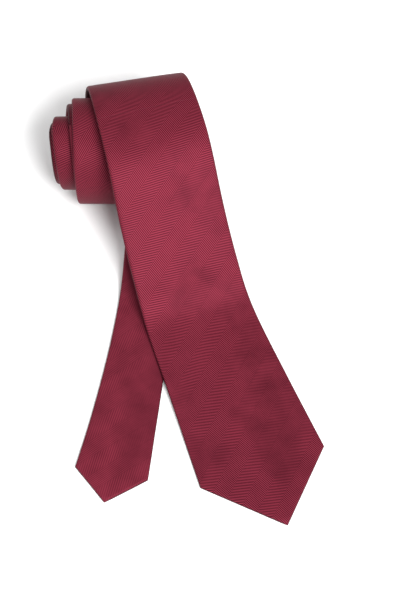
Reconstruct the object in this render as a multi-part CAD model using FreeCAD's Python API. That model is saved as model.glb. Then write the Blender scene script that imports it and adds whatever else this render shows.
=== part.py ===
import FreeCAD, Part
import math
import os

# A necktie wound up as a doubled strip, with its two ends left out of the roll.
# Millimetres and degrees. +Z is up from the table, +X runs along the roll,
# and the two blades point towards -Y.
# "front" is the wide blade, which is the outer ply of the roll. "tail" is the narrow one.

Vector = FreeCAD.Vector

# cloth
ply_thickness = 3.2
ply_spacing = 3.7
cloth = 0.5
lining = 0.2
seam_gap = 1.6
clearance = 0.15

# blades: (distance from the tip, width)
front_widths = [(43, 82.5), (100, 75.8), (170, 69.3), (300, 65.8), (480, 51.2), (640, 38.5), (800, 38)]
tail_widths = [(20.5, 46.3), (60, 41.4), (120, 36.7), (250, 35), (480, 37), (700, 38)]
tip_end_width = 3.0
hem_width = 10.0

# where the pieces of cloth are joined, from each tip
front_neck_seam_at = 640.0
tail_neck_seam_at = 480.0
front_flaps_meet_at = 82.0
tail_flaps_meet_at = 46.0
front_tipping_length = 150.0
tail_tipping_length = 60.0

# the roll: half sizes of the doubled strip's middle at the last crest, and what each turn takes off
crest_angle = 810
fold_angle = -240
half_depth = 42.5
half_depth_per_turn = 11.7
half_height = 36.8
half_height_per_turn = 8.2
roll_centre_y = 105.0
roll_drift_per_turn = 1.9
crest_x = -30.52
side_step_per_turn = 17.9
roll_lift = 0.2
fanned_turns = 2.0
core_recess_per_turn = 5.0
front_swing = 6.6
tail_swing = 5.6
tail_set_back = 7.5
swing_angle = 90
yaw_starts = 560
yaw_turn = 200
roll_yaw = 10.1

# the way down to the table and along it
shoulder = 52.0
front_touchdown = 55.0
tail_touchdown = 44.0
front_slope = 39.4
tail_slope = 48.0
front_headings = (14.2, 19.3, 20.5)
tail_headings = (-3.2, -6.4, -8.2, -12.1)
tail_clearance = 1.2
over_tail = 50.0
settling = 46.0
front_rest = 36.3
tail_rest = 131.0
yaw_blend = 40.0
untwist_from = 40.0
untwist_length = 50.0

# the joints
tail_hinge_at = 66.0
hinge_gap = 0.4

# trim on the back of the front blade
loop_at = 222.0
loop_along = 13.0
loop_across = 46.0
loop_thickness = 0.8
loop_sewn = 4.0
loop_ramp = 5.0
loop_rise = 0.6
label_at = 182.0
label_along = 12.0
label_across = 26.0
label_thickness = 0.25
end_margin = 1.5
bar_width = 1.0
bar_height = 0.25

# stitching
thread = 0.4
fine_thread = 0.25
sewn_in = 0.05
tack_length = 7.0
tack_width = 1.2
tack_margin = 1.0
slip_margin = 3.0
hem_stitch_along = 1.6
hem_stitch_wide = 0.5
hem_stitch_inset = 0.8
front_hem_stitches = 7
tail_hem_stitches = 4
hem_stitches_from = 0.3
hem_stitches_to = 0.9
slack_loop_at = 66.0
slack_loop_radius = 3.0

# how finely the route and the solids follow the curves
path_step = 2.0
angle_step = 3
section_step = 5.0
neck_step = 3.0
trim_step = 2.0
fold_step = 30


def smooth(share):
    share = min(1.0, max(0.0, share))
    return share * share * (3 - 2 * share)


def eased(stations, at):
    """Width at a distance, on a smooth curve through (distance, width) stations."""
    last = len(stations) - 1
    i = max(k for k in range(last) if k == 0 or stations[k][0] <= at)
    (x0, y0), (x1, y1) = stations[i], stations[i + 1]
    before = stations[max(i - 1, 0)]
    after = stations[min(i + 2, last)]
    span = x1 - x0
    slope0 = (y1 - before[1]) / (x1 - before[0])
    slope1 = (after[1] - y0) / (after[0] - x0)
    t = min(1.0, max(0.0, (at - x0) / span))
    return (y0 * (1 + 2 * t) * (1 - t) ** 2 + y1 * t * t * (3 - 2 * t)
            + span * (slope0 * t * (1 - t) ** 2 - slope1 * t * t * (1 - t)))


def yaw_at(angle):
    """How far the line across the strip has turned from +X."""
    return roll_yaw * smooth((angle - yaw_starts) / yaw_turn)


def strip_middle(angle, side):
    """Centre line of one ply in the roll: side is 1 for the outer ply, -1 for the inner."""
    t = math.radians(angle)
    turns_left = (crest_angle - angle) / 360
    depth = half_depth - half_depth_per_turn * turns_left
    height = half_height - half_height_per_turn * turns_left
    centre_z = half_height - half_height_per_turn / 2 + (ply_spacing + ply_thickness) / 2 + roll_lift
    x = crest_x - side_step_per_turn * min(turns_left, fanned_turns)
    x += core_recess_per_turn * max(0.0, turns_left - fanned_turns)
    swing = max(0.0, (angle - crest_angle + swing_angle) / swing_angle) ** 2
    wound = (angle - fold_angle) / (crest_angle - fold_angle)
    if side > 0:
        sideways = front_swing * swing
    else:
        sideways = tail_swing * swing - tail_set_back * math.sin(math.pi * wound ** 2)
    yaw = math.radians(yaw_at(angle))
    along_y = half_depth_per_turn / math.tau * math.cos(t) - depth * math.sin(t)
    along_z = half_height_per_turn / math.tau * math.sin(t) + height * math.cos(t)
    length = math.hypot(along_y, along_z)
    out = side * ply_spacing / 2
    y = roll_centre_y - roll_drift_per_turn * turns_left + depth * math.cos(t)
    z = centre_z + height * math.sin(t)
    offset = Vector(sideways * math.cos(yaw), sideways * math.sin(yaw), 0)
    return Vector(x, y + out * along_z / length, z - out * along_y / length) + offset


def follow(point, legs):
    """Points along legs of (length, slope, end slope, heading, end heading)."""
    points = [point]
    for length, slope0, slope1, heading0, heading1 in legs:
        steps = max(2, round(length / path_step))
        for i in range(steps):
            share = (i + 0.5) / steps
            slope = math.radians(slope0 + (slope1 - slope0) * smooth(share))
            heading = math.radians(heading0 + (heading1 - heading0) * share)
            flat = math.cos(slope)
            move = Vector(flat * math.sin(heading), -flat * math.cos(heading), -math.sin(slope))
            points.append(points[-1] + move * (length / steps))
    return points[1:]


def fall(length, slope0, slope1):
    return -follow(Vector(), [(length, slope0, slope1, 0, 0)])[-1].z


def way_down(start, side, slope0, heading0):
    """The ply from the crest to its tip."""
    table = ply_thickness / 2
    if side > 0:
        slope = front_slope
        first, second, third = front_headings
        lowest = table + ply_thickness + tail_clearance
        touch = front_touchdown
    else:
        slope = tail_slope
        first, second, third, tip_heading = tail_headings
        lowest = table
        touch = tail_touchdown
    bends = fall(shoulder, slope0, slope) + fall(touch, slope, 0)
    straight = (start.z - lowest - bends) / math.sin(math.radians(slope))
    legs = [
        (shoulder, slope0, slope, heading0, first),
        (straight, slope, slope, first, second),
        (touch, slope, 0, second, third),
    ]
    if side < 0:
        return follow(start, legs + [(tail_rest, 0, 0, third, tip_heading)])
    tilt = (lowest - table) / fall(settling, 0, 1)
    legs += [
        (over_tail, 0, 0, third, third),
        (settling / 2, 0, tilt, third, third),
        (settling / 2, tilt, 0, third, third),
        (front_rest, 0, 0, third, third),
    ]
    return follow(start, legs)


class Ply:
    """One ply of the strip as samples of (distance from its tip, point, normal, across).

    A ply that starts beside another shares its slant, so that the two stay parallel.
    """

    def __init__(self, side, beside=None):
        angles = range(fold_angle, crest_angle + 1, angle_step)
        rolled = [strip_middle(a, side) for a in angles]
        last = rolled[-1] - rolled[-2]
        slope = math.degrees(math.atan2(-last.z, math.hypot(last.x, last.y)))
        heading = math.degrees(math.atan2(last.x, -last.y))
        free = way_down(rolled[-1], side, slope, heading)
        points = rolled + free
        self.free_yaws = []
        for i, point in enumerate(free):
            step = point - points[len(rolled) + i - 1]
            own = math.degrees(math.atan2(step.x, -step.y))
            if beside:
                shared = beside.free_yaws[min(i, len(beside.free_yaws) - 1)]
                share = smooth((i * path_step - untwist_from) / untwist_length)
            else:
                shared = roll_yaw
                share = smooth(i * path_step / yaw_blend)
            self.free_yaws.append(shared + (own - shared) * share)
        yaws = [yaw_at(a) for a in angles] + self.free_yaws
        self.samples = []
        travelled = 0.0
        for i, point in enumerate(points):
            if i:
                travelled += (point - points[i - 1]).Length
            along = points[min(i + 1, len(points) - 1)] - points[max(i - 1, 0)]
            yaw = math.radians(yaws[i])
            normal = along.cross(Vector(math.cos(yaw), math.sin(yaw), 0)).normalize()
            across = normal.cross(along).normalize()
            self.samples.append((travelled, point, normal, across))
        self.samples = [(travelled - s, p, n, a) for s, p, n, a in reversed(self.samples)]
        self.length = travelled
        self.crest_at = self.samples[len(free)][0]

    def at(self, distance):
        """Point, normal and across at a distance from the tip."""
        low, high = 0, len(self.samples) - 1
        while high - low > 1:
            middle = (low + high) // 2
            if self.samples[middle][0] <= distance:
                low = middle
            else:
                high = middle
        d0, p0, n0, a0 = self.samples[low]
        d1, p1, n1, a1 = self.samples[high]
        t = (distance - d0) / (d1 - d0)
        return p0 + (p1 - p0) * t, (n0 + (n1 - n0) * t).normalize(), (a0 + (a1 - a0) * t).normalize()


def wire(frame, outline):
    point, normal, across = frame
    corners = [point + across * v + normal * n for v, n in outline]
    return Part.makePolygon(corners + corners[:1])


def loft(frames, outlines, ruled=True):
    solid = Part.makeLoft([wire(f, o) for f, o in zip(frames, outlines)], True, ruled)
    if solid.Volume < 0:
        solid.reverse()
    return solid


def spread(start, end, step=section_step):
    count = max(1, math.ceil(abs(end - start) / step))
    return [start + (end - start) * i / count for i in range(count + 1)]


def box_outline(half_width, low, high):
    return [(-half_width, low), (half_width, low), (half_width, high), (-half_width, high)]


def envelope_outline(width, gap):
    """Cloth folded round to the back, with its two edges a gap apart."""
    w = width / 2
    t = ply_thickness / 2
    g = gap / 2
    inside = t - cloth
    return [(-w, t), (w, t), (w, -t), (g, -t), (g, -inside), (w - cloth, -inside),
            (w - cloth, inside), (cloth - w, inside), (cloth - w, -inside), (-g, -inside), (-g, -t), (-w, -t)]


front = Ply(1)
tail = Ply(-1, front)


def width_at(ply, distance):
    """Full width, which falls to the point over the blade's tip."""
    stations = front_widths if ply is front else tail_widths
    corner, widest = stations[0]
    if distance >= corner:
        return eased(stations, distance)
    return tip_end_width + (widest - tip_end_width) * distance / corner


def gap_at(ply, distance):
    """How far apart the edges of the folded cloth are: they part near the tip."""
    corner, widest = (front_widths if ply is front else tail_widths)[0]
    meet = front_flaps_meet_at if ply is front else tail_flaps_meet_at
    open_width = widest - 2 * hem_width
    if distance >= meet:
        return seam_gap
    if distance >= corner:
        return seam_gap + (open_width - seam_gap) * (meet - distance) / (meet - corner)
    return seam_gap / 2 + (open_width - seam_gap / 2) * distance / corner


def blade_distances(ply, end):
    """Sections from the tip to the end, with one at each change of outline."""
    corner = (front_widths if ply is front else tail_widths)[0][0]
    meet = front_flaps_meet_at if ply is front else tail_flaps_meet_at
    return [0.0, corner] + spread(corner, meet)[1:] + spread(meet, end)[1:]


def shell(ply, distances):
    outlines = [envelope_outline(width_at(ply, d), gap_at(ply, d)) for d in distances]
    return loft([ply.at(d) for d in distances], outlines)


def plan(ply, distances, inset, z):
    """Outline of the blade in plan, drawn inwards by an inset, as a face at height z."""
    places = [(ply.at(d)[0], ply.at(d)[2], width_at(ply, d) / 2 - inset) for d in distances]
    edge = [p + a * w for p, a, w in places] + [p - a * w for p, a, w in reversed(places)]
    edge = [Vector(corner.x, corner.y, z) for corner in edge]
    return Part.Face(Part.makePolygon(edge + edge[:1]))


def opening_plan(ply, distances, z):
    """The gap between the folded edges in plan."""
    places = [(ply.at(d)[0], ply.at(d)[2], gap_at(ply, d) / 2) for d in distances]
    edge = [p + a * g for p, a, g in places] + [p - a * g for p, a, g in reversed(places)]
    edge = [Vector(corner.x, corner.y, z) for corner in edge]
    return Part.Face(Part.makePolygon(edge + edge[:1]))


def flat_shell(ply, distances):
    """The envelope where the blade lies flat on the table, with its back in the table's plane."""
    up = Vector(0, 0, 1)
    inner = [distances[0] + cloth] + distances[1:-1] + [distances[-1] + 1]
    through = distances[:-1] + [distances[-1] + 1]
    solid = plan(ply, distances, 0, 0).extrude(up * ply_thickness)
    hollow = plan(ply, inner, cloth, cloth).extrude(up * (ply_thickness - 2 * cloth))
    slot = opening_plan(ply, [through[0] - 1] + through[1:], -1).extrude(up * (1 + 2 * cloth))
    return solid.cut(hollow).cut(slot)


def neck_shell():
    """The neck cloth: along the outer ply, round the fold and back along the inner ply."""
    outer_distances = spread(front_neck_seam_at + hinge_gap, front.length, neck_step)
    outer = [front.at(d) for d in outer_distances]
    widths = [width_at(front, d) for d in outer_distances]
    inner_distances = spread(tail.length, tail_neck_seam_at + hinge_gap, neck_step)
    inner = [tail.at(d) for d in inner_distances]
    inner = [(point, normal * -1, across) for point, normal, across in inner]
    middle = (outer[-1][0] + inner[0][0]) / 2
    normal = outer[-1][1]
    across = outer[-1][2]
    inwards = normal.cross(across)
    round_fold = []
    for angle in range(fold_step, 180, fold_step):
        t = math.radians(angle)
        out = normal * math.cos(t) + inwards * math.sin(t)
        round_fold.append((middle + out * (ply_spacing / 2), out, across))
    frames = outer + round_fold + inner
    widths += [widths[-1]] * len(round_fold) + [width_at(tail, d) for d in inner_distances]
    return loft(frames, [envelope_outline(w, seam_gap) for w in widths])


def interlining(ply, start, end):
    """The stiffening layer inside the folded cloth, cut to a point where it reaches the tip."""
    high = ply_thickness / 2 - cloth - clearance
    low = -high + lining + clearance
    inset = cloth + 2 * clearance
    corner = (front_widths if ply is front else tail_widths)[0][0]
    distances = spread(max(start, corner), end)
    if start < corner:
        distances = [start] + distances
    outlines = [box_outline(width_at(ply, d) / 2 - inset, low, high) for d in distances]
    return loft([ply.at(d) for d in distances], outlines)


def tipping(ply, length):
    """The lining sheet behind the blade's tip, between the interlining and the folded edges."""
    low = -(ply_thickness / 2 - cloth - clearance / 2)
    high = low + lining
    corner = (front_widths if ply is front else tail_widths)[0][0]
    distances = [corner / 8, corner] + spread(corner, length)[1:]
    outlines = [box_outline(width_at(ply, d) / 2 - cloth - clearance, low, high) for d in distances]
    return loft([ply.at(d) for d in distances], outlines)


def seam_thread(ply, start, end, half_width=thread):
    """Slip stitching that lies in the gap between the folded edges."""
    low = sewn_in - ply_thickness / 2
    distances = spread(start, end)
    outline = box_outline(half_width, low, low + thread)
    return loft([ply.at(d) for d in distances], [outline] * len(distances))


def bar_tack(ply, meet):
    """The close stitches that lock the end of the slip stitching."""
    start = meet + tack_margin
    return seam_thread(ply, start, start + tack_length, tack_width / 2)


def neck_seam(ply, at):
    """Stitching through the face cloth across the strip where two lengths of cloth join."""
    half = width_at(ply, at) / 2 - tack_margin
    high = ply_thickness / 2 - sewn_in
    distances = (at + sewn_in, at + hinge_gap - sewn_in)
    return loft([ply.at(d) for d in distances], [box_outline(half, high - thread, high)] * 2)


def band_on_back(at, along, outline):
    """A band on the back of the front blade, with the same outline all along it."""
    distances = spread(at - along / 2, at + along / 2, trim_step)
    return loft([front.at(d) for d in distances], [outline] * len(distances))


def end_bars(at, along, v, top):
    """A bar of stitches down each of the two ends of a band."""
    bars = []
    for side in (-1, 1):
        outline = [(side * v + x, n) for x, n in box_outline(bar_width / 2, top - bar_height, top)]
        bars.append(band_on_back(at, along - 2 * end_margin, outline))
    return Part.makeCompound(bars)


loop_inner = -ply_thickness / 2 - clearance
loop_outer = loop_inner - loop_thickness


def keeper_loop():
    """The band across the back that holds the tail when the tie is worn, sewn at both ends."""
    half = loop_across / 2
    sewn = half - loop_sewn
    free = sewn - loop_ramp
    under = [(-half, loop_outer), (-sewn, loop_outer), (-free, loop_outer - loop_rise),
             (free, loop_outer - loop_rise), (sewn, loop_outer), (half, loop_outer)]
    over = [(v, n + loop_thickness) for v, n in reversed(under)]
    return band_on_back(loop_at, loop_along, under + over)


def keeper_stitches():
    return end_bars(loop_at, loop_along, loop_across / 2 - end_margin, loop_outer - sewn_in)


label_high = -ply_thickness / 2 - clearance
label_low = label_high - label_thickness


def care_label():
    return band_on_back(label_at, label_along, box_outline(label_across / 2, label_low, label_high))


def label_stitches():
    return end_bars(label_at, label_along, label_across / 2 - end_margin, label_low - sewn_in)


def tipping_stitches(ply, count):
    """Felling stitches just inside the turned hem, down both edges of the tip."""
    corner = (front_widths if ply is front else tail_widths)[0][0]
    low = clearance - ply_thickness / 2
    stitches = []
    for side in (-1, 1):
        for i in range(count):
            share = i / (count - 1)
            at = corner * (hem_stitches_from + (hem_stitches_to - hem_stitches_from) * share)
            v = side * (gap_at(ply, at - hem_stitch_along / 2) / 2 - hem_stitch_inset)
            frames = [ply.at(at - hem_stitch_along / 2), ply.at(at + hem_stitch_along / 2)]
            outline = [(v + x, n) for x, n in box_outline(hem_stitch_wide / 2, low, low + fine_thread)]
            stitches.append(loft(frames, [outline] * 2))
    return Part.makeCompound(stitches)


def slack_loop():
    """The spare loop at the end of the slip stitching, lying on the tipping."""
    point, normal, across = front.at(slack_loop_at)
    centre = point - normal * (ply_thickness / 2 - fine_thread)
    return Part.makeTorus(slack_loop_radius, thread / 2, centre, normal)


crest = front.crest_at
front_slip_from = front_flaps_meet_at + tack_length + slip_margin
tail_slip_from = tail_flaps_meet_at + tack_length + slip_margin
inside_fold = slip_margin
inside_tip = 4.0
parts = {
    "front_shell_free": shell(front, blade_distances(front, crest - hinge_gap)),
    "front_shell_rolled": shell(front, spread(crest + hinge_gap, front_neck_seam_at)),
    "neck_shell": neck_shell(),
    "tail_shell_rolled": shell(tail, spread(tail_hinge_at + hinge_gap, tail_neck_seam_at)),
    "tail_shell_free": flat_shell(tail, blade_distances(tail, tail_hinge_at - hinge_gap)),
    "front_interlining_free": interlining(front, inside_tip, crest - hinge_gap),
    "front_interlining_rolled": interlining(front, crest + hinge_gap, front.length - inside_fold),
    "tail_interlining_rolled": interlining(tail, tail_hinge_at + hinge_gap, tail.length - inside_fold),
    "tail_interlining_free": interlining(tail, inside_tip, tail_hinge_at - hinge_gap),
    "front_tipping": tipping(front, front_tipping_length),
    "tail_tipping": tipping(tail, tail_tipping_length),
    "front_slip_stitch_free": seam_thread(front, front_slip_from, crest - hinge_gap),
    "front_slip_stitch_rolled": seam_thread(front, crest + hinge_gap, front_neck_seam_at),
    "tail_slip_stitch_rolled": seam_thread(tail, tail_hinge_at + hinge_gap, tail_neck_seam_at),
    "tail_slip_stitch_free": seam_thread(tail, tail_slip_from, tail_hinge_at - hinge_gap),
    "front_bar_tack": bar_tack(front, front_flaps_meet_at),
    "tail_bar_tack": bar_tack(tail, tail_flaps_meet_at),
    "front_neck_seam": neck_seam(front, front_neck_seam_at),
    "tail_neck_seam": neck_seam(tail, tail_neck_seam_at),
    "keeper_loop": keeper_loop(),
    "keeper_loop_stitches": keeper_stitches(),
    "care_label": care_label(),
    "care_label_stitches": label_stitches(),
    "front_tipping_stitches": tipping_stitches(front, front_hem_stitches),
    "tail_tipping_stitches": tipping_stitches(tail, tail_hem_stitches),
    "front_slack_loop": slack_loop(),
}

os.makedirs("parts", exist_ok=True)
whole = FreeCAD.BoundBox()
for name, shape in parts.items():
    shape.exportStep("parts/" + name + ".step")
    whole.add(shape.BoundBox)
    print(name, "valid" if shape.isValid() else "NOT VALID", len(shape.Solids), round(shape.Volume, 1))
print("box", whole)
for name, ply, at in (("front", front, crest), ("tail", tail, tail_hinge_at)):
    point, normal, across = ply.at(at)
    print(name, "length", ply.length, "crest at", ply.crest_at)
    print(name, "hinge", point + normal * ply_thickness / 2, "across", across)
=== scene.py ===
import bisect
import math

import bmesh
import bpy
from mathutils import Matrix, Vector, noise


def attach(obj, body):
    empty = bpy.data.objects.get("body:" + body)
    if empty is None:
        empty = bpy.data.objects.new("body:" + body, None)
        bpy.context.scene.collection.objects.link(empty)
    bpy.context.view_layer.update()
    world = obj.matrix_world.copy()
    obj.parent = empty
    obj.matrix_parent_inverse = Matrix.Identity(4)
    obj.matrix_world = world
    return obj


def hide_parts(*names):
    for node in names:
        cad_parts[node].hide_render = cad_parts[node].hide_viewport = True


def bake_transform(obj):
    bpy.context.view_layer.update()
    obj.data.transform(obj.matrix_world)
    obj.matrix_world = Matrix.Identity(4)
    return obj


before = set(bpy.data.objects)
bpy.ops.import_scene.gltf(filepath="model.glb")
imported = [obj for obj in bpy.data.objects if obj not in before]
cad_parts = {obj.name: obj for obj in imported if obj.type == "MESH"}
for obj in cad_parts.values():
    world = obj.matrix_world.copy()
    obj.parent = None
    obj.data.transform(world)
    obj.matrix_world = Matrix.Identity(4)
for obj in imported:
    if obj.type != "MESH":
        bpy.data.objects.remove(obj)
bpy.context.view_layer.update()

mm = 0.001
print("frame loaded:", len(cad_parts), "nodes")


# the way the strip lies, in mm and degrees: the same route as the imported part
strip = {
    "thickness": 3.2, "spacing": 3.7,
    "crestAngle": 810, "foldAngle": -240, "foldStep": 15, "angleStep": 3, "step": 2.0,
    "depth": 42.5, "depthPerTurn": 11.7, "height": 36.8, "heightPerTurn": 8.2,
    "centreY": 105.0, "drift": 1.9, "lift": 0.2,
    "crestX": -30.52, "sideStep": 17.9, "fannedTurns": 2.0, "coreRecess": 5.0,
    "swingAngle": 90, "frontSwing": 6.6, "tailSwing": 5.6, "tailSetBack": 7.5,
    "yawStarts": 560, "yawTurn": 200, "yaw": 10.1, "yawBlend": 40.0,
    "untwistFrom": 40.0, "untwist": 50.0, "shoulder": 52.0,
    "frontTouchdown": 55.0, "tailTouchdown": 44.0, "frontSlope": 39.4, "tailSlope": 48.0,
    "frontHeadings": (14.2, 19.3, 20.5), "tailHeadings": (-3.2, -6.4, -8.2, -12.1),
    "tailClearance": 1.2, "overTail": 50.0, "settling": 46.0, "frontRest": 36.3, "tailRest": 131.0,
}
frontCut = {
    "widths": [(43, 82.5), (100, 75.8), (170, 69.3), (300, 65.8), (480, 51.2), (640, 38.5), (800, 38)],
    "neckSeam": 640.0, "flapsMeet": 82.0, "hem": 14.0, "tippingEnds": 150.0, "hemStitches": 12,
}
tailCut = {
    "widths": [(20.5, 46.3), (60, 41.4), (120, 36.7), (250, 35), (480, 37), (700, 38)],
    "neckSeam": 480.0, "flapsMeet": 46.0, "hem": 11.0, "tippingEnds": 60.0, "hemStitches": 6, "hinge": 66.0,
}


def smooth(share):
    share = min(1.0, max(0.0, share))
    return share * share * (3 - 2 * share)


def eased(stations, at):
    # a smooth curve through (distance, width) stations
    last = len(stations) - 1
    i = max(k for k in range(last) if k == 0 or stations[k][0] <= at)
    (x0, y0), (x1, y1) = stations[i], stations[i + 1]
    before = stations[max(i - 1, 0)]
    after = stations[min(i + 2, last)]
    span = x1 - x0
    slope0 = (y1 - before[1]) / (x1 - before[0])
    slope1 = (after[1] - y0) / (after[0] - x0)
    t = min(1.0, max(0.0, (at - x0) / span))
    return (y0 * (1 + 2 * t) * (1 - t) ** 2 + y1 * t * t * (3 - 2 * t)
            + span * (slope0 * t * (1 - t) ** 2 - slope1 * t * t * (1 - t)))


def widthAt(cut, distance):
    corner, widest = cut["widths"][0]
    if distance >= corner:
        return eased(cut["widths"], distance)
    return widest * distance / corner


def yawAt(angle):
    return strip["yaw"] * smooth((angle - strip["yawStarts"]) / strip["yawTurn"])


def stripMiddle(angle, side):
    # side is 1 for the outer ply of the roll, -1 for the inner
    t = math.radians(angle)
    turnsLeft = (strip["crestAngle"] - angle) / 360
    depth = strip["depth"] - strip["depthPerTurn"] * turnsLeft
    height = strip["height"] - strip["heightPerTurn"] * turnsLeft
    centreZ = strip["height"] - strip["heightPerTurn"] / 2 + (strip["spacing"] + strip["thickness"]) / 2
    x = strip["crestX"] - strip["sideStep"] * min(turnsLeft, strip["fannedTurns"])
    x += strip["coreRecess"] * max(0.0, turnsLeft - strip["fannedTurns"])
    swing = max(0.0, (angle - strip["crestAngle"] + strip["swingAngle"]) / strip["swingAngle"]) ** 2
    wound = (angle - strip["foldAngle"]) / (strip["crestAngle"] - strip["foldAngle"])
    if side > 0:
        sideways = strip["frontSwing"] * swing
    else:
        sideways = strip["tailSwing"] * swing - strip["tailSetBack"] * math.sin(math.pi * wound ** 2)
    yaw = math.radians(yawAt(angle))
    alongY = strip["depthPerTurn"] / math.tau * math.cos(t) - depth * math.sin(t)
    alongZ = strip["heightPerTurn"] / math.tau * math.sin(t) + height * math.cos(t)
    length = math.hypot(alongY, alongZ)
    out = side * strip["spacing"] / 2
    y = strip["centreY"] - strip["drift"] * turnsLeft + depth * math.cos(t)
    z = centreZ + strip["lift"] + height * math.sin(t)
    offset = Vector((sideways * math.cos(yaw), sideways * math.sin(yaw), 0))
    return Vector((x, y + out * alongZ / length, z - out * alongY / length)) + offset


def follow(point, legs):
    # a leg is (length, slope, end slope, heading, end heading)
    points = [point]
    for length, slope0, slope1, heading0, heading1 in legs:
        steps = max(2, round(length / strip["step"]))
        for i in range(steps):
            share = (i + 0.5) / steps
            slope = math.radians(slope0 + (slope1 - slope0) * smooth(share))
            heading = math.radians(heading0 + (heading1 - heading0) * share)
            flat = math.cos(slope)
            move = Vector((flat * math.sin(heading), -flat * math.cos(heading), -math.sin(slope)))
            points.append(points[-1] + move * (length / steps))
    return points[1:]


def fall(length, slope0, slope1):
    return -follow(Vector(), [(length, slope0, slope1, 0, 0)])[-1].z


def wayDown(start, side, slope0, heading0):
    table = strip["thickness"] / 2
    if side > 0:
        slope = strip["frontSlope"]
        first, second, third = strip["frontHeadings"]
        lowest = table + strip["thickness"] + strip["tailClearance"]
        touch = strip["frontTouchdown"]
    else:
        slope = strip["tailSlope"]
        first, second, third, tipHeading = strip["tailHeadings"]
        lowest = table
        touch = strip["tailTouchdown"]
    bends = fall(strip["shoulder"], slope0, slope) + fall(touch, slope, 0)
    straight = (start.z - lowest - bends) / math.sin(math.radians(slope))
    legs = [
        (strip["shoulder"], slope0, slope, heading0, first),
        (straight, slope, slope, first, second),
        (touch, slope, 0, second, third),
    ]
    if side < 0:
        return follow(start, legs + [(strip["tailRest"], 0, 0, third, tipHeading)])
    half = strip["settling"] / 2
    tilt = (lowest - table) / fall(strip["settling"], 0, 1)
    legs += [
        (strip["overTail"], 0, 0, third, third),
        (half, 0, tilt, third, third),
        (half, tilt, 0, third, third),
        (strip["frontRest"], 0, 0, third, third),
    ]
    return follow(start, legs)


class Route:
    # samples of (distance, point, normal, across) in mm, in order of distance

    def __init__(self, samples):
        self.samples = samples
        self.distances = [s[0] for s in samples]
        self.length = self.distances[-1]

    def at(self, distance):
        i = min(max(bisect.bisect_right(self.distances, distance), 1), len(self.samples) - 1)
        d0, p0, n0, a0 = self.samples[i - 1]
        d1, p1, n1, a1 = self.samples[i]
        t = (distance - d0) / (d1 - d0)
        return p0.lerp(p1, t), n0.lerp(n1, t).normalized(), a0.lerp(a1, t).normalized()


def plyRoute(side, beside=None):
    angles = range(strip["foldAngle"], strip["crestAngle"] + 1, strip["angleStep"])
    rolled = [stripMiddle(a, side) for a in angles]
    last = rolled[-1] - rolled[-2]
    slope = math.degrees(math.atan2(-last.z, math.hypot(last.x, last.y)))
    heading = math.degrees(math.atan2(last.x, -last.y))
    free = wayDown(rolled[-1], side, slope, heading)
    points = rolled + free
    freeYaws = []
    for i, point in enumerate(free):
        step = point - points[len(rolled) + i - 1]
        own = math.degrees(math.atan2(step.x, -step.y))
        if beside:
            shared = beside.freeYaws[min(i, len(beside.freeYaws) - 1)]
            share = smooth((i * strip["step"] - strip["untwistFrom"]) / strip["untwist"])
        else:
            shared = strip["yaw"]
            share = smooth(i * strip["step"] / strip["yawBlend"])
        freeYaws.append(shared + (own - shared) * share)
    yaws = [yawAt(a) for a in angles] + freeYaws
    samples = []
    travelled = 0.0
    for i, point in enumerate(points):
        if i:
            travelled += (point - points[i - 1]).length
        along = points[min(i + 1, len(points) - 1)] - points[max(i - 1, 0)]
        yaw = math.radians(yaws[i])
        normal = along.cross(Vector((math.cos(yaw), math.sin(yaw), 0))).normalized()
        across = normal.cross(along).normalized()
        samples.append((travelled, point, normal, across))
    route = Route([(travelled - s, p, n, a) for s, p, n, a in reversed(samples)])
    route.crestAt = samples[-1][0] - samples[len(rolled) - 1][0]
    route.freeYaws = freeYaws
    return route


def neckRoute(front, tail):
    # along the outer ply, round the fold and back along the inner ply
    outer = [(0.0, *front.at(frontCut["neckSeam"]))]
    outer += [s for s in front.samples if s[0] > frontCut["neckSeam"]]
    inner = [s for s in reversed(tail.samples) if s[0] > tailCut["neckSeam"]]
    inner.append((0.0, *tail.at(tailCut["neckSeam"])))
    middle = (outer[-1][1] + inner[0][1]) / 2
    normal, across = outer[-1][2], outer[-1][3]
    inwards = normal.cross(across)
    frames = [(p, n, a) for d, p, n, a in outer]
    for angle in range(strip["foldStep"], 180, strip["foldStep"]):
        t = math.radians(angle)
        out = normal * math.cos(t) + inwards * math.sin(t)
        frames.append((middle + out * (strip["spacing"] / 2), out, across))
    frames += [(p, -n, a) for d, p, n, a in inner]
    samples = []
    travelled = 0.0
    for i, (point, out, side) in enumerate(frames):
        if i:
            travelled += (point - frames[i - 1][0]).length
        samples.append((travelled, point, out, side))
    return Route(samples)


front = plyRoute(1)
tail = plyRoute(-1, front)
neck = neckRoute(front, tail)
print("routes in mm:", round(front.length), "wide blade side,", round(tail.length), "tail side,",
      round(neck.length), "neck")


# how the wide blade lies where it crosses the tail and meets the table, in mm
drape = {
    "onTable": 122.0, "offTable": 186.0, "spill": 26.0, "gap": 0.12,
    "edgeFrom": 18, "edgeTo": 175, "beyondTip": 12,
}
resting = [s for s in tail.samples if drape["edgeFrom"] < s[0] < drape["edgeTo"]]
tailEdge = [(p.y, p.x + widthAt(tailCut, d) / 2) for d, p, n, a in resting]


def tailEdgeAt(y):
    ys = [e[0] for e in tailEdge]
    i = min(max(bisect.bisect_right(ys, y), 1), len(ys) - 1)
    (y0, x0), (y1, x1) = tailEdge[i - 1], tailEdge[i]
    return x0 + (x1 - x0) * (y - y0) / (y1 - y0)


def drapedLift(distance, point, centreZ):
    # how far the wide blade moves from its level route to lie on the tail and the table
    share = 1 - smooth((distance - drape["onTable"]) / (drape["offTable"] - drape["onTable"]))
    if share <= 0:
        return 0.0
    under = strip["thickness"] * (1 - smooth((point.x - tailEdgeAt(point.y)) / drape["spill"]))
    under *= 1 - smooth((tailEdge[0][0] - point.y) / drape["beyondTip"])
    return share * (under + drape["gap"] + strip["thickness"] / 2 - centreZ)


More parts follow.
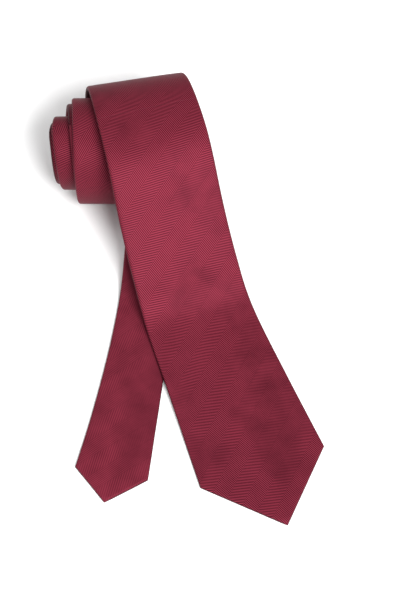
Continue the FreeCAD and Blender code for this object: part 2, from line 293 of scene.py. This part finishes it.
def lay(route, distance, v, n):
    # a point v across and n above the strip's middle, in metres
    point, normal, across = route.at(distance)
    place = point + across * v + normal * n
    if route is front:
        place.z += drapedLift(distance, place, point.z)
    return place * mm


# cloth relief: broad soft swells of the pressed envelope, in mm, full where half the width is fullAt
relief = {"swell": 0.30, "swellSize": 46.0, "fine": 0.07, "fineSize": 14.0, "fineSeed": 7, "fullAt": 15}


def swell(route, distance, v, seed):
    far = Vector((v / relief["swellSize"], distance / relief["swellSize"], seed))
    near = Vector((v / relief["fineSize"], distance / relief["fineSize"], seed + relief["fineSeed"]))
    return relief["swell"] * noise.noise(far) + relief["fine"] * noise.noise(near)


def spread(start, end, step):
    # evenly spaced values from start to end, no further apart than step
    count = max(1, math.ceil(abs(end - start) / step))
    return [start + (end - start) * i / count for i in range(count + 1)]


def evenColumns(count):
    return [-1 + 2 * i / count for i in range(count + 1)]


def meshObject(name, bm):
    mesh = bpy.data.meshes.new(name)
    bm.to_mesh(mesh)
    bm.free()
    mesh.polygons.foreach_set("use_smooth", [True] * len(mesh.polygons))
    piece = bpy.data.objects.new(name, mesh)
    bpy.context.scene.collection.objects.link(piece)
    return piece


# the folded silk envelope, in mm: how its section is shaped
envelope = {
    "cloth": 0.45, "face": 30, "turn": 7, "flap": 14,        # its thickness, and counts of columns
    "overlap": 4.5, "overlapShare": 0.15, "closing": 18,     # how the two flaps come to lap
    "tuck": 0.55, "tuckFrom": 9, "tuckOver": 6,              # the left flap goes in under the right
    "crown": 0.22, "crownFullAt": 20,                        # the face swells up in the middle
    "fullAt": 4, "thinTip": 0.12,                            # half width where it is fully thick
}
weld = 2e-6     # metres: rows that come together at the point are merged
# where the painted shade lies on a folded edge, as degrees up from its outermost line
edgeShadow = {"top": 50, "fadeIn": 60, "bottom": -100, "fadeOut": 30}


def shadowShare(column):
    # painted shade: 0 over the face and the back, 1 on the lower half of a folded edge
    if isinstance(column, tuple) and column[0] == "turn":
        above = smooth((edgeShadow["top"] - column[2]) / edgeShadow["fadeIn"])
        return above * smooth((column[2] - edgeShadow["bottom"]) / edgeShadow["fadeOut"])
    return 0.0


def facing(route, side=1):
    # the way that a sheet faces at a place: out of the strip's face, or out of its back with -1
    return lambda place: min(route.samples, key=lambda s: (s[1] * mm - place).length)[2] * side


def gridSheet(name, columns, rows, place, outward):
    # a flat grid that is laid on the strip; place gives (flat c, flat d, position)
    # the flat place is kept as a UV map, and the painted shade of the folded edges as another
    bm = bmesh.new()
    bmesh.ops.create_grid(bm, x_segments=len(columns) - 1, y_segments=len(rows) - 1, size=0.5)
    flat = bm.loops.layers.uv.new("weave")
    fold = bm.loops.layers.uv.new("fold")
    across, along = len(columns) - 1, len(rows) - 1
    placed = {}
    for vert in bm.verts:
        column = columns[round((vert.co.x + 0.5) * across)]
        row = rows[round((vert.co.y + 0.5) * along)]
        placed[vert] = (*place(column, row), shadowShare(column))
    for face in bm.faces:
        for loop in face.loops:
            c, d, position, shadow = placed[loop.vert]
            loop[flat].uv = (c * mm, d * mm)
            loop[fold].uv = (shadow, 0)
    for vert in bm.verts:
        vert.co = placed[vert][2]
    bm.normal_update()
    bm.faces.ensure_lookup_table()
    middle = bm.faces[(along // 2) * across + across // 2]
    if middle.normal.dot(outward(middle.calc_center_median())) < 0:
        bmesh.ops.reverse_faces(bm, faces=bm.faces)
    bmesh.ops.remove_doubles(bm, verts=bm.verts, dist=weld)
    return meshObject(name, bm)


def thicken(piece, thickness, offset=0.0):
    # offset 0 keeps the sheet in the middle of the wall, -1 on its outside
    wall = piece.modifiers.new("thickness", "SOLIDIFY")
    wall.thickness = thickness * mm
    wall.offset = offset
    wall.use_even_offset = False
    return piece


def envelopeColumns():
    # from the middle of the back round the left edge, the face and the right edge
    turn, flap, wide = envelope["turn"], envelope["flap"], envelope["face"]
    left = [("flap", -1, 1 - i / flap) for i in range(flap)]
    left += [("turn", -1, -90 + 180 * i / turn) for i in range(turn)]
    face = [("face", 0, -1 + 2 * i / wide) for i in range(wide + 1)]
    right = [("turn", 1, 90 - 180 * (i + 1) / turn) for i in range(turn)]
    right += [("flap", 1, (i + 1) / flap) for i in range(flap)]
    return left + face + right


def openingAt(cut, distance):
    # half the gap between the two folded edges behind the tip, 0 past where they meet
    if distance >= cut["flapsMeet"]:
        return 0.0
    corner, widest = cut["widths"][0]
    if distance <= corner:
        return max(0.0, widthAt(cut, distance) / 2 - cut["hem"])
    atCorner = widest / 2 - cut["hem"]
    return atCorner * (cut["flapsMeet"] - distance) / (cut["flapsMeet"] - corner)


def envelopePoint(cut, column, distance, halfWidth):
    # (c round the cloth, v across, n above the middle)
    kind, side, t = column
    high = strip["thickness"] / 2 * min(1.0, halfWidth / envelope["fullAt"] + envelope["thinTip"])
    radius = min(high, halfWidth)
    flat = halfWidth - radius
    if kind == "face":
        v = flat * t
        crown = envelope["crown"] * min(1.0, halfWidth / envelope["crownFullAt"])
        return v, v, high + crown * (1 - t * t)
    if kind == "turn":
        a = math.radians(t)
        c = flat + radius * (math.pi / 2 - a)
        return side * c, side * (flat + radius * math.cos(a)), high * math.sin(a)
    meet = smooth((distance - cut["flapsMeet"]) / envelope["closing"])
    lap = envelope["overlap"] * meet * (1 if side < 0 else envelope["overlapShare"])
    v = flat - t * (flat - min(openingAt(cut, distance) - lap, flat))
    n = -high
    if side < 0:
        n += envelope["tuck"] * meet * smooth((envelope["tuckFrom"] - v) / envelope["tuckOver"])
    c = flat + radius * math.pi + (flat - v)
    return side * c, side * v, n


def envelopeShell(name, route, cut, distances, widthOf, seed):
    def place(column, distance):
        half = max(widthOf(distance) / 2, 0.0)
        c, v, n = envelopePoint(cut, column, distance, half)
        raised = min(1.0, half / relief["fullAt"]) * smooth(2 * n / strip["thickness"])
        return c, distance, lay(route, distance, v, n + swell(route, distance, v, seed) * raised)

    piece = gridSheet(name, envelopeColumns(), distances, place, facing(route))
    return thicken(piece, envelope["cloth"], -1.0)


# rows along the silk, in mm; close together towards the point and in the neck's tight turns
clothRows = {"tip": 24, "tipPower": 1.15, "step": 2.2, "neckStep": 1.2, "meeting": 0.4}


def bladeRows(cut, end):
    corner = cut["widths"][0][0]
    count = clothRows["tip"]
    near = [corner * (i / count) ** clothRows["tipPower"] for i in range(count + 1)]
    return near + spread(corner, end, clothRows["step"])[1:]


def frontWidth(distance):
    return widthAt(frontCut, distance)


def tailWidth(distance):
    return widthAt(tailCut, distance)


def neckWidth(distance):
    start, end = frontWidth(frontCut["neckSeam"]), tailWidth(tailCut["neckSeam"])
    return start + (end - start) * distance / neck.length


# the wide blade is in two lengths that meet on the roll's crest, so that the roll
# keeps still when the blade lifts; two close rows keep their shading equal there
bladeEnd = front.crestAt - clothRows["meeting"]
woundStart = front.crestAt + clothRows["meeting"]
frontRows = bladeRows(frontCut, bladeEnd) + [front.crestAt]
woundRows = [front.crestAt] + spread(woundStart, frontCut["neckSeam"], clothRows["step"])
tailRows = bladeRows(tailCut, tailCut["neckSeam"])
neckRows = spread(0.0, neck.length, clothRows["neckStep"])
neckCut = {"flapsMeet": -60.0}      # its back is closed from end to end

frontShell = envelopeShell("front_shell", front, frontCut, frontRows, frontWidth, seed=3)
frontWound = envelopeShell("front_shell_wound", front, frontCut, woundRows, frontWidth, seed=3)
tailShell = envelopeShell("tail_shell", tail, tailCut, tailRows, tailWidth, seed=11)
neckShell = envelopeShell("neck_shell_cloth", neck, neckCut, neckRows, neckWidth, seed=19)
shells = (frontShell, frontWound, tailShell, neckShell)
print("shells made,", sum(len(shell.data.polygons) for shell in shells), "faces")


# interlining: one woollen layer inside each blade
wool = {
    "thickness": 1.1, "inset": 2.2, "narrowest": 0.2, "columns": 16, "raise": 0.22,
    "fromTip": 5.0, "fromFold": 3.0, "step": 2.2,
}


def woolLayer(name, route, start, end, widthOf):
    def place(column, distance):
        v = column * max(widthOf(distance) / 2 - wool["inset"], wool["narrowest"])
        return v, distance, lay(route, distance, v, wool["raise"])

    rows = spread(start, end, wool["step"])
    sheet = gridSheet(name, evenColumns(wool["columns"]), rows, place, facing(route))
    return thicken(sheet, wool["thickness"])


frontEndOfWool = front.length - wool["fromFold"]
frontWool = woolLayer("front_interlining", front, wool["fromTip"], front.crestAt, frontWidth)
woundWool = woolLayer("front_interlining_wound", front, front.crestAt, frontEndOfWool, frontWidth)
tailWool = woolLayer("tail_interlining", tail, wool["fromTip"], tail.length - wool["fromFold"], tailWidth)


# tipping: the thin lining that shows behind each tip
tipping = {
    "thickness": 0.15, "columns": 14, "inset": 1.4, "narrowest": 0.1, "depth": 0.54,
    "fromTip": 3.5, "step": 3, "puff": 0.12, "puffsAcross": 3, "puffLength": 9, "seed": 5,
}


def tippingSheet(name, route, cut):
    def place(column, distance):
        v = column * max(widthAt(cut, distance) / 2 - tipping["inset"], tipping["narrowest"])
        spot = Vector((column * tipping["puffsAcross"], distance / tipping["puffLength"], tipping["seed"]))
        low = tipping["depth"] - strip["thickness"] / 2
        return v, distance, lay(route, distance, v, low + tipping["puff"] * noise.noise(spot))

    rows = spread(tipping["fromTip"], cut["tippingEnds"], tipping["step"])
    sheet = gridSheet(name, evenColumns(tipping["columns"]), rows, place, facing(route, -1))
    return thicken(sheet, tipping["thickness"])


frontTipping = tippingSheet("front_tipping_lining", front, frontCut)
tailTipping = tippingSheet("tail_tipping_lining", tail, tailCut)


# stitches: short rounded lengths of thread, in mm; back is the height of the strip's back
stitch = {
    "thread": 0.38, "facets": 6, "proud": 0.06, "sunk": 0.1,
    "slipPitch": 9.0, "slipLength": 3.0, "slipStarts": 12, "slipFrom": 0.9, "slipTo": -0.6,
    "tackRows": 9, "tackLength": 7.0, "tackStarts": 1, "tackHalf": 2.2, "tackSlant": 0.6,
    "hemFrom": 0.42, "hemSpan": 0.56, "hemIn": 0.7, "hemOut": 0.5, "hemSlant": 1.1, "hemDepth": 0.45,
    "seamInset": 1.5, "seamPitch": 2.2, "seamLength": 1.5, "seamPast": 0.25, "barProud": 0.08,
    "barInset": 1, "barHalf": 0.7, "barSlant": 0.5,
}
back = -strip["thickness"] / 2


def threadPiece(bm, start, end, radius):
    # one stitch: a stretched bead between two points in metres
    along = end - start
    facets = stitch["facets"]
    made = bmesh.ops.create_uvsphere(bm, u_segments=facets, v_segments=facets, radius=1.0)
    turn = along.to_track_quat("Z", "Y").to_matrix().to_4x4()
    size = Matrix.Diagonal((radius * mm, radius * mm, along.length / 2, 1))
    bmesh.ops.transform(bm, matrix=Matrix.Translation((start + end) / 2) @ turn @ size, verts=made["verts"])


def stitches(name, route, ends):
    # ends: ((distance, v, n), (distance, v, n)) for each stitch
    bm = bmesh.new()
    for first, second in ends:
        threadPiece(bm, lay(route, *first), lay(route, *second), stitch["thread"] / 2)
    return meshObject(name, bm)


def slipEnds(start, end):
    low, high = back + stitch["proud"], back + stitch["sunk"]
    rows = spread(start, end, stitch["slipPitch"])[:-1]
    left, right, length = stitch["slipFrom"], stitch["slipTo"], stitch["slipLength"]
    return [((d, left, low), (d + length, right, high)) for d in rows]


def tackEnds(cut):
    at = cut["flapsMeet"] + stitch["tackStarts"]
    pitch = stitch["tackLength"] / stitch["tackRows"]
    low = back + stitch["proud"]
    ends = []
    for i in range(stitch["tackRows"]):
        after = at + pitch * (i + stitch["tackSlant"])
        ends.append(((at + pitch * i, -stitch["tackHalf"], low), (after, stitch["tackHalf"], low)))
    return ends


def hemEnds(cut):
    corner = cut["widths"][0][0]
    count = cut["hemStitches"]
    ends = []
    for side in (-1, 1):
        for i in range(count):
            d = corner * (stitch["hemFrom"] + stitch["hemSpan"] * i / (count - 1))
            v = openingAt(cut, d)
            inside = (d, side * (v - stitch["hemIn"]), back + stitch["hemDepth"])
            outside = (d + stitch["hemSlant"], side * (v + stitch["hemOut"]), back + stitch["proud"])
            ends.append((inside, outside))
    return ends


def neckSeamEnds(cut):
    d = cut["neckSeam"] + stitch["seamPast"]
    half = widthAt(cut, cut["neckSeam"]) / 2 - stitch["seamInset"]
    high = -back - stitch["sunk"]
    starts = spread(-half, half, stitch["seamPitch"])[:-1]
    return [((d, v, high), (d, v + stitch["seamLength"], high)) for v in starts]


def barEnds(part, gap):
    # a close row of stitches along each end of a band on the back
    low = back - gap - part["thickness"] - stitch["barProud"]
    reach = part["along"] / 2 - stitch["barInset"]
    rows = spread(part["at"] - reach, part["at"] + reach, 2 * reach / part["stitches"])
    ends = []
    for side in (-1, 1):
        v = side * (part["across"] / 2 - part["seamIn"])
        left, right = v - stitch["barHalf"], v + stitch["barHalf"]
        ends += [((d, left, low), (d + stitch["barSlant"], right, low)) for d in rows]
    return ends


frontSlipStart = frontCut["flapsMeet"] + stitch["slipStarts"]
tailSlipStart = tailCut["flapsMeet"] + stitch["slipStarts"]
frontSlip = stitches("front_slip_stitches", front, slipEnds(frontSlipStart, front.crestAt))
woundSlip = stitches("front_slip_stitches_wound", front, slipEnds(front.crestAt, frontCut["neckSeam"]))
tailSlip = stitches("tail_slip_stitches", tail, slipEnds(tailSlipStart, tailCut["neckSeam"]))
frontTack = stitches("front_bar_tack_thread", front, tackEnds(frontCut))
tailTack = stitches("tail_bar_tack_thread", tail, tackEnds(tailCut))
frontHem = stitches("front_hem_stitches", front, hemEnds(frontCut))
tailHem = stitches("tail_hem_stitches", tail, hemEnds(tailCut))
frontNeckSeam = stitches("front_neck_seam_thread", front, neckSeamEnds(frontCut))
tailNeckSeam = stitches("tail_neck_seam_thread", tail, neckSeamEnds(tailCut))


# keeper loop: a folded band across the back, sewn down at both ends
keeper = {
    "at": 222.0, "along": 13.0, "across": 46.0, "thickness": 0.8, "gap": 0.2, "rise": 0.7,
    "sewnShare": 0.3, "columns": 24, "rows": 6, "edgeRoll": 0.15, "edgeFrom": 0.7, "softEdge": 0.3,
    "stitches": 14, "seamIn": 1.5,
}


def keeperPiece():
    half = keeper["along"] / 2

    def place(column, distance):
        v = column * keeper["across"] / 2
        lifted = keeper["rise"] * smooth((1 - abs(column)) / keeper["sewnShare"])
        out = abs(distance - keeper["at"]) / half
        rolled = keeper["edgeRoll"] * smooth((out - keeper["edgeFrom"]) / (1 - keeper["edgeFrom"]))
        n = back - keeper["gap"] - keeper["thickness"] / 2 - lifted + rolled
        return v, distance, lay(front, distance, v, n)

    rows = spread(keeper["at"] - half, keeper["at"] + half, keeper["along"] / keeper["rows"])
    sheet = gridSheet("keeper_band", evenColumns(keeper["columns"]), rows, place, facing(front, -1))
    piece = thicken(sheet, keeper["thickness"])
    rim = piece.modifiers.new("soft edge", "BEVEL")
    rim.width = keeper["softEdge"] * mm
    rim.segments = 2
    rim.limit_method = "ANGLE"
    return piece


keeperBand = keeperPiece()
keeperStitches = stitches("keeper_band_stitches", front, barEnds(keeper, keeper["gap"]))


# a plain woven tab with no lettering
tab = {
    "at": 182.0, "along": 12.0, "across": 26.0, "thickness": 0.22, "gap": 0.1, "bow": 0.1,
    "columns": 12, "step": 2, "stitches": 7, "seamIn": 1.2,
}


def tabPiece():
    def place(column, distance):
        v = column * tab["across"] / 2
        n = back - tab["gap"] - tab["thickness"] / 2 - tab["bow"] * (1 - column * column)
        return v, distance, lay(front, distance, v, n)

    rows = spread(tab["at"] - tab["along"] / 2, tab["at"] + tab["along"] / 2, tab["step"])
    sheet = gridSheet("care_tab", evenColumns(tab["columns"]), rows, place, facing(front, -1))
    return thicken(sheet, tab["thickness"])


careTab = tabPiece()
tabStitches = stitches("care_tab_stitches", front, barEnds(tab, tab["gap"]))


# the spare loop of slip stitching thread, in mm
slack = {
    "at": 66.0, "radius": 3.0, "squash": 0.7, "wobble": 0.22, "turned": 0.6,
    "beads": 28, "lap": 1.15, "depth": 0.3,
}


def slackPoint(i):
    t = math.tau * i / slack["beads"]
    reach = slack["radius"] * (1 + slack["wobble"] * math.sin(2 * t + slack["turned"]))
    d = slack["at"] + reach * math.cos(t)
    v = slack["radius"] * slack["squash"] * math.sin(t)
    return d, v, back + slack["depth"]


slackEnds = [(slackPoint(i), slackPoint(i + slack["lap"])) for i in range(slack["beads"])]
slackLoop = stitches("slack_thread_loop", front, slackEnds)
print("linings, loop, tab and stitches made")


class Wire:
    # a shader socket that can be used in sums

    def __init__(self, tree, socket):
        self.tree = tree
        self.socket = socket

    def node(self, kind, settings=None, sockets=None, output=0):
        # settings first, then the sockets' links and values; output picks the socket handed back
        made = self.tree.nodes.new(kind)
        for key, value in (settings or {}).items():
            setattr(made, key, value)
        for key, value in (sockets or {}).items():
            if isinstance(value, Wire):
                self.tree.links.new(value.socket, made.inputs[key])
            else:
                made.inputs[key].default_value = value
        return Wire(self.tree, made.outputs[output])

    def math(self, operation, other=None, swapped=False):
        pair = [self] if other is None else ([other, self] if swapped else [self, other])
        return self.node("ShaderNodeMath", {"operation": operation}, dict(enumerate(pair)))

    def __add__(self, other):
        return self.math("ADD", other)

    __radd__ = __add__

    def __sub__(self, other):
        return self.math("SUBTRACT", other)

    def __rsub__(self, other):
        return self.math("SUBTRACT", other, True)

    def __mul__(self, other):
        return self.math("MULTIPLY", other)

    __rmul__ = __mul__

    def __truediv__(self, other):
        return self.math("DIVIDE", other)

    def clamped(self, low, high):
        # 0 up to low, 1 from high on, smooth between
        return self.node("ShaderNodeMapRange", {"interpolation_type": "SMOOTHSTEP"},
                         {"Value": self, "From Min": low, "From Max": high})

    def mottle(self, scale, detail):
        # soft noise over the flat cloth
        return self.node("ShaderNodeTexNoise", {"noise_dimensions": "2D"},
                         {"Vector": self, "Scale": scale, "Detail": detail})


def newMaterial(name):
    material = bpy.data.materials.new(name)
    material.use_nodes = True
    tree = material.node_tree
    shader = tree.nodes["Principled BSDF"]
    return material, Wire(tree, shader.outputs[0]), shader


def feed(shader, name, wire):
    wire.tree.links.new(wire.socket, shader.inputs[name])


def mixColour(share, first, second):
    # 6, 7 and 2 are the Mix node's colour sockets
    return share.node("ShaderNodeMix", {"data_type": "RGBA"}, {"Factor": share, 6: first, 7: second}, 2)


# the woven silk: lengths in mm on the flat cloth, strengths as shares
silk = {
    "columnWidth": 10.2, "pitch": 1.08, "lean": 70.0, "gap": 0.5, "gapShade": 0.1,
    "dark": (0.013, 0.0007, 0.0024, 1), "light": (0.212, 0.0245, 0.0440, 1),
    # painted shade on the lower half of the folded edges: the share of colour left there, and where it is
    # full
    "edgeShade": 0.34, "edgeFull": 0.9,
    "slub": 0.35, "slubScale": 0.07, "slubDetail": 3.0,
    "patch": 0.22, "patchScale": 0.021, "patchDetail": 1.5,
    "fibre": 0.22, "fibreScale": 2.2, "fibreDetail": 2.0,
    # tipFrom and tipTo: the painted shade towards the tip fades out between these distances
    "crispFrom": 0.36, "crispTo": 0.62, "crisp": 0.7, "least": 0.3, "tipFrom": 5.0, "tipTo": 110.0,
    "roughness": 0.56, "threadRough": 0.1, "slubRough": 0.06, "fibreHeight": 0.15, "bump": 0.00010,
    "metallic": 0.15, "specular": 0.16, "specularTint": (0.75, 0.22, 0.32, 1),
}


def flatCoordinate(start, name, axis):
    # one coordinate of a UV map that is kept with the cloth
    uv = start.node("ShaderNodeUVMap", {"uv_map": name})
    return start.node("ShaderNodeSeparateXYZ", None, {0: uv}, axis)


def herringbone(name, contrast, bump, paintedTipShade):
    # columns run on the bias; contrast is the twill's; the last argument is painted shade, how far the base
    # colour darkens towards the tip where the sheen falls off
    material, start, shader = newMaterial(name)
    c = flatCoordinate(start, "weave", "X") / mm
    d = flatCoordinate(start, "weave", "Y") / mm
    across = (c - d) * math.sqrt(0.5)
    along = (c + d) * math.sqrt(0.5)
    width = silk["columnWidth"]
    lean = math.radians(silk["lean"])
    zigzag = across.math("PINGPONG", width)
    column = (across / width).math("FLOOR").math("FLOORED_MODULO", 2.0)
    wave = (along * math.sin(lean) - zigzag * math.cos(lean)) / silk["pitch"] + column * 0.5
    thread = (wave * math.tau).math("SINE") * 0.5 + 0.5
    seam = zigzag.math("MINIMUM", width - zigzag).clamped(0.0, silk["gap"])    # 0 between two columns

    flat = start.node("ShaderNodeCombineXYZ", None, {0: c, 1: d})
    slub = flat.mottle(silk["slubScale"], silk["slubDetail"])
    fibre = flat.mottle(silk["fibreScale"], silk["fibreDetail"])
    patch = flat.mottle(silk["patchScale"], silk["patchDetail"])
    crisp = patch.clamped(silk["crispFrom"], silk["crispTo"]) * silk["crisp"] + silk["least"]
    share = (thread - 0.5) * contrast * crisp + 0.5 + (slub - 0.5) * silk["slub"]
    share = share + (patch - 0.5) * silk["patch"] + (fibre - 0.5) * silk["fibre"]
    share = share * (seam * silk["gapShade"] + (1 - silk["gapShade"]))
    # painted shade: the base colour darkens towards the tip, standing in for the sheen falling off there
    share = share * (d.clamped(silk["tipFrom"], silk["tipTo"]) * paintedTipShade + (1 - paintedTipShade))

    # painted shade: the base colour is darkened on the lower half of each folded edge
    shadow = flatCoordinate(start, "fold", "X").clamped(0.0, silk["edgeFull"])
    shade = 1.0 - shadow * (1 - silk["edgeShade"])
    colour = mixColour(share, silk["dark"], silk["light"])
    shaded = colour.node("ShaderNodeVectorMath", {"operation": "SCALE"}, {0: colour, "Scale": shade})
    feed(shader, "Base Color", shaded)
    rough = silk["roughness"] + (0.5 - thread) * silk["threadRough"] + (slub - 0.5) * silk["slubRough"]
    feed(shader, "Roughness", rough)
    height = thread * seam + fibre * silk["fibreHeight"]
    feed(shader, "Normal", start.node("ShaderNodeBump", None,
                                      {"Strength": bump, "Distance": silk["bump"], "Height": height}))
    shader.inputs["Metallic"].default_value = silk["metallic"]
    shader.inputs["Specular IOR Level"].default_value = silk["specular"]
    shader.inputs["Specular Tint"].default_value = silk["specularTint"]
    return material


# the other cloths: one mottled colour
plain = {"darker": 0.72, "from": 0.3, "to": 0.7, "roughSpread": 0.15, "bumpStrength": 0.4, "detail": 4.0}


def plainCloth(name, colour, roughness, scale, bump):
    material, start, shader = newMaterial(name)
    place = start.node("ShaderNodeTexCoord", output="Object")
    weave = start.node("ShaderNodeTexNoise", None,
                       {"Vector": place, "Scale": scale, "Detail": plain["detail"]})
    darker = [x * plain["darker"] for x in colour[:3]] + [1]
    feed(shader, "Base Color", mixColour(weave.clamped(plain["from"], plain["to"]), darker, colour))
    feed(shader, "Roughness", weave * plain["roughSpread"] + roughness)
    feed(shader, "Normal", start.node("ShaderNodeBump", None, {"Strength": plain["bumpStrength"],
                                                               "Distance": bump, "Height": weave}))
    return material


frontSilk = herringbone("front silk", contrast=2.0, bump=0.12, paintedTipShade=0.25)
# the tail is the same silk: its twill is painted fainter in the base colour, a painted shade for the sheen
# its threads catch less
tailSilk = herringbone("tail silk", contrast=0.5, bump=0.06, paintedTipShade=0.0)
woolFelt = plainCloth("wool felt", (0.72, 0.68, 0.60, 1), 0.85, 2500, 0.0002)
liningSilk = plainCloth("lining silk", (0.20, 0.020, 0.045, 1), 0.35, 4000, 0.00005)
tabWeave = plainCloth("tab weave", (0.03, 0.03, 0.035, 1), 0.5, 5000, 0.00005)
threadLook = plainCloth("silk thread", (0.26, 0.028, 0.065, 1), 0.4, 9000, 0.00005)
print("materials made")


def dress(piece, material, nodes):
    piece.data.materials.clear()
    piece.data.materials.append(material)
    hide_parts(*nodes)


def flatSize(piece):
    # the cut's width and length, read off the flat places kept with the piece
    uvs = [d.uv for d in piece.data.uv_layers["weave"].data]
    cs = [u[0] for u in uvs]
    ds = [u[1] for u in uvs]
    return max(cs) - min(cs), max(ds) - min(ds)


def flatArea(piece):
    total = 0.0
    layer = piece.data.uv_layers["weave"].data
    for face in piece.data.polygons:
        points = [layer[i].uv for i in face.loop_indices]
        pairs = zip(points, points[1:] + points[:1])
        total += abs(sum(a.x * b.y - b.x * a.y for a, b in pairs)) / 2
    return total


for piece, material, slot, nodes in (
    (frontShell, frontSilk, "tie_cloth", ["front_shell_free"]),
    (frontWound, frontSilk, "tie_cloth", ["front_shell_rolled"]),
    (tailShell, tailSilk, "tie_cloth", ["tail_shell_free", "tail_shell_rolled"]),
    (neckShell, frontSilk, "tie_cloth", ["neck_shell"]),
    (frontWool, woolFelt, "interlining", ["front_interlining_free"]),
    (woundWool, woolFelt, "interlining", ["front_interlining_rolled"]),
    (tailWool, woolFelt, "interlining", ["tail_interlining_free", "tail_interlining_rolled"]),
    (frontTipping, liningSilk, "tipping", ["front_tipping"]),
    (tailTipping, liningSilk, "tipping", ["tail_tipping"]),
    (keeperBand, frontSilk, "tie_cloth", ["keeper_loop"]),
    (careTab, tabWeave, "label", ["care_label"]),
):
    size = flatSize(piece)
    dress(piece, material, nodes)
    min(flatArea(piece), size[0] * size[1])
    print("sheet", piece.name, [round(x / mm) for x in size], "mm")

for piece, nodes in (
    (frontSlip, ["front_slip_stitch_free"]),
    (woundSlip, ["front_slip_stitch_rolled"]),
    (tailSlip, ["tail_slip_stitch_free", "tail_slip_stitch_rolled"]),
    (frontTack, ["front_bar_tack"]),
    (tailTack, ["tail_bar_tack"]),
    (frontHem, ["front_tipping_stitches"]),
    (tailHem, ["tail_tipping_stitches"]),
    (frontNeckSeam, ["front_neck_seam"]),
    (tailNeckSeam, ["tail_neck_seam"]),
    (keeperStitches, ["keeper_loop_stitches"]),
    (tabStitches, ["care_label_stitches"]),
    (slackLoop, ["front_slack_loop"]),
):
    dress(piece, threadLook, nodes)

# where the cloth starts and ends its turn at the two bends, in mm before and after the joint
bend = {"front": (-4.0, 54.0), "tail": (9.0, 9.0)}


def bendEnds(route, at, before, after):
    return route.at(at + before)[0] * mm, route.at(at - after)[0] * mm


frontStart, frontEnd = bendEnds(front, front.crestAt, *bend["front"])
tailStart, tailEnd = bendEnds(tail, tailCut["hinge"], *bend["tail"])
bladeTrim = (frontTack, frontHem, frontTipping, keeperBand, keeperStitches, careTab, tabStitches, slackLoop)
for piece in bladeTrim:
    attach(piece, "front_blade")
for piece in (tailTack, tailHem, tailTipping):
    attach(piece, "tail_blade")
for piece in (frontWound, woundWool, woundSlip, neckShell, frontNeckSeam, tailNeckSeam):
    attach(piece, "roll")
for piece in (frontShell, frontWool, frontSlip):
    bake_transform(piece)
for piece in (tailShell, tailWool, tailSlip):
    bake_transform(piece)
print("pieces ride on their bodies")


# the stage, the light and the camera, in metres, watts and degrees
studio = {
    "floor": 3.0, "floorColour": (0.93, 0.93, 0.93, 1), "floorRoughness": 0.9,
    "keyAt": (0.5, -0.9, 1.3), "key": 44.0, "keySize": 0.7,
    "fillAt": (-1.1, 0.5, 1.3), "fill": 5.0, "fillSize": 0.8, "litAt": (0, 0, 0.02), "world": 0.62,
    "elevation": 59.5, "distance": 1.8, "aim": (0.00978, 0.0094, 0.0), "viewHeight": 0.3858, "sensor": 36.0,
}


def makeFloor():
    bm = bmesh.new()
    bmesh.ops.create_grid(bm, x_segments=1, y_segments=1, size=studio["floor"])
    floor = meshObject("floor", bm)
    paper, start, shader = newMaterial("pale paper")
    shader.inputs["Base Color"].default_value = studio["floorColour"]
    shader.inputs["Roughness"].default_value = studio["floorRoughness"]
    floor.data.materials.append(paper)
    return floor


def areaLight(name, place, power, size):
    light = bpy.data.lights.new(name, "AREA")
    light.energy = power
    light.size = size
    made = bpy.data.objects.new(name, light)
    made.location = place
    made.rotation_mode = "QUATERNION"
    made.rotation_quaternion = (Vector(studio["litAt"]) - Vector(place)).to_track_quat("-Z", "Y")
    bpy.context.scene.collection.objects.link(made)


def skyLight(strength):
    world = bpy.data.worlds.new("studio")
    world.use_nodes = True
    sky = world.node_tree.nodes["Background"]
    sky.inputs["Color"].default_value = (1, 1, 1, 1)
    sky.inputs["Strength"].default_value = strength
    bpy.context.scene.world = world


def makeCamera():
    camera = bpy.data.objects.new("camera", bpy.data.cameras.new("camera"))
    bpy.context.scene.collection.objects.link(camera)
    up = math.radians(studio["elevation"])
    backwards = Vector((0, -math.cos(up), math.sin(up)))
    camera.location = Vector(studio["aim"]) + backwards * studio["distance"]
    camera.rotation_mode = "QUATERNION"
    camera.rotation_quaternion = (-backwards).to_track_quat("-Z", "Y")
    camera.data.sensor_width = studio["sensor"]
    camera.data.lens = studio["sensor"] * studio["distance"] / studio["viewHeight"]
    return camera


makeFloor()
areaLight("key", studio["keyAt"], studio["key"], studio["keySize"])
areaLight("fill", studio["fillAt"], studio["fill"], studio["fillSize"])
skyLight(studio["world"])
bpy.context.scene.view_settings.view_transform = "Standard"
bpy.context.scene.camera = makeCamera()
print("stage, light and camera ready")

bpy.context.view_layer.update()
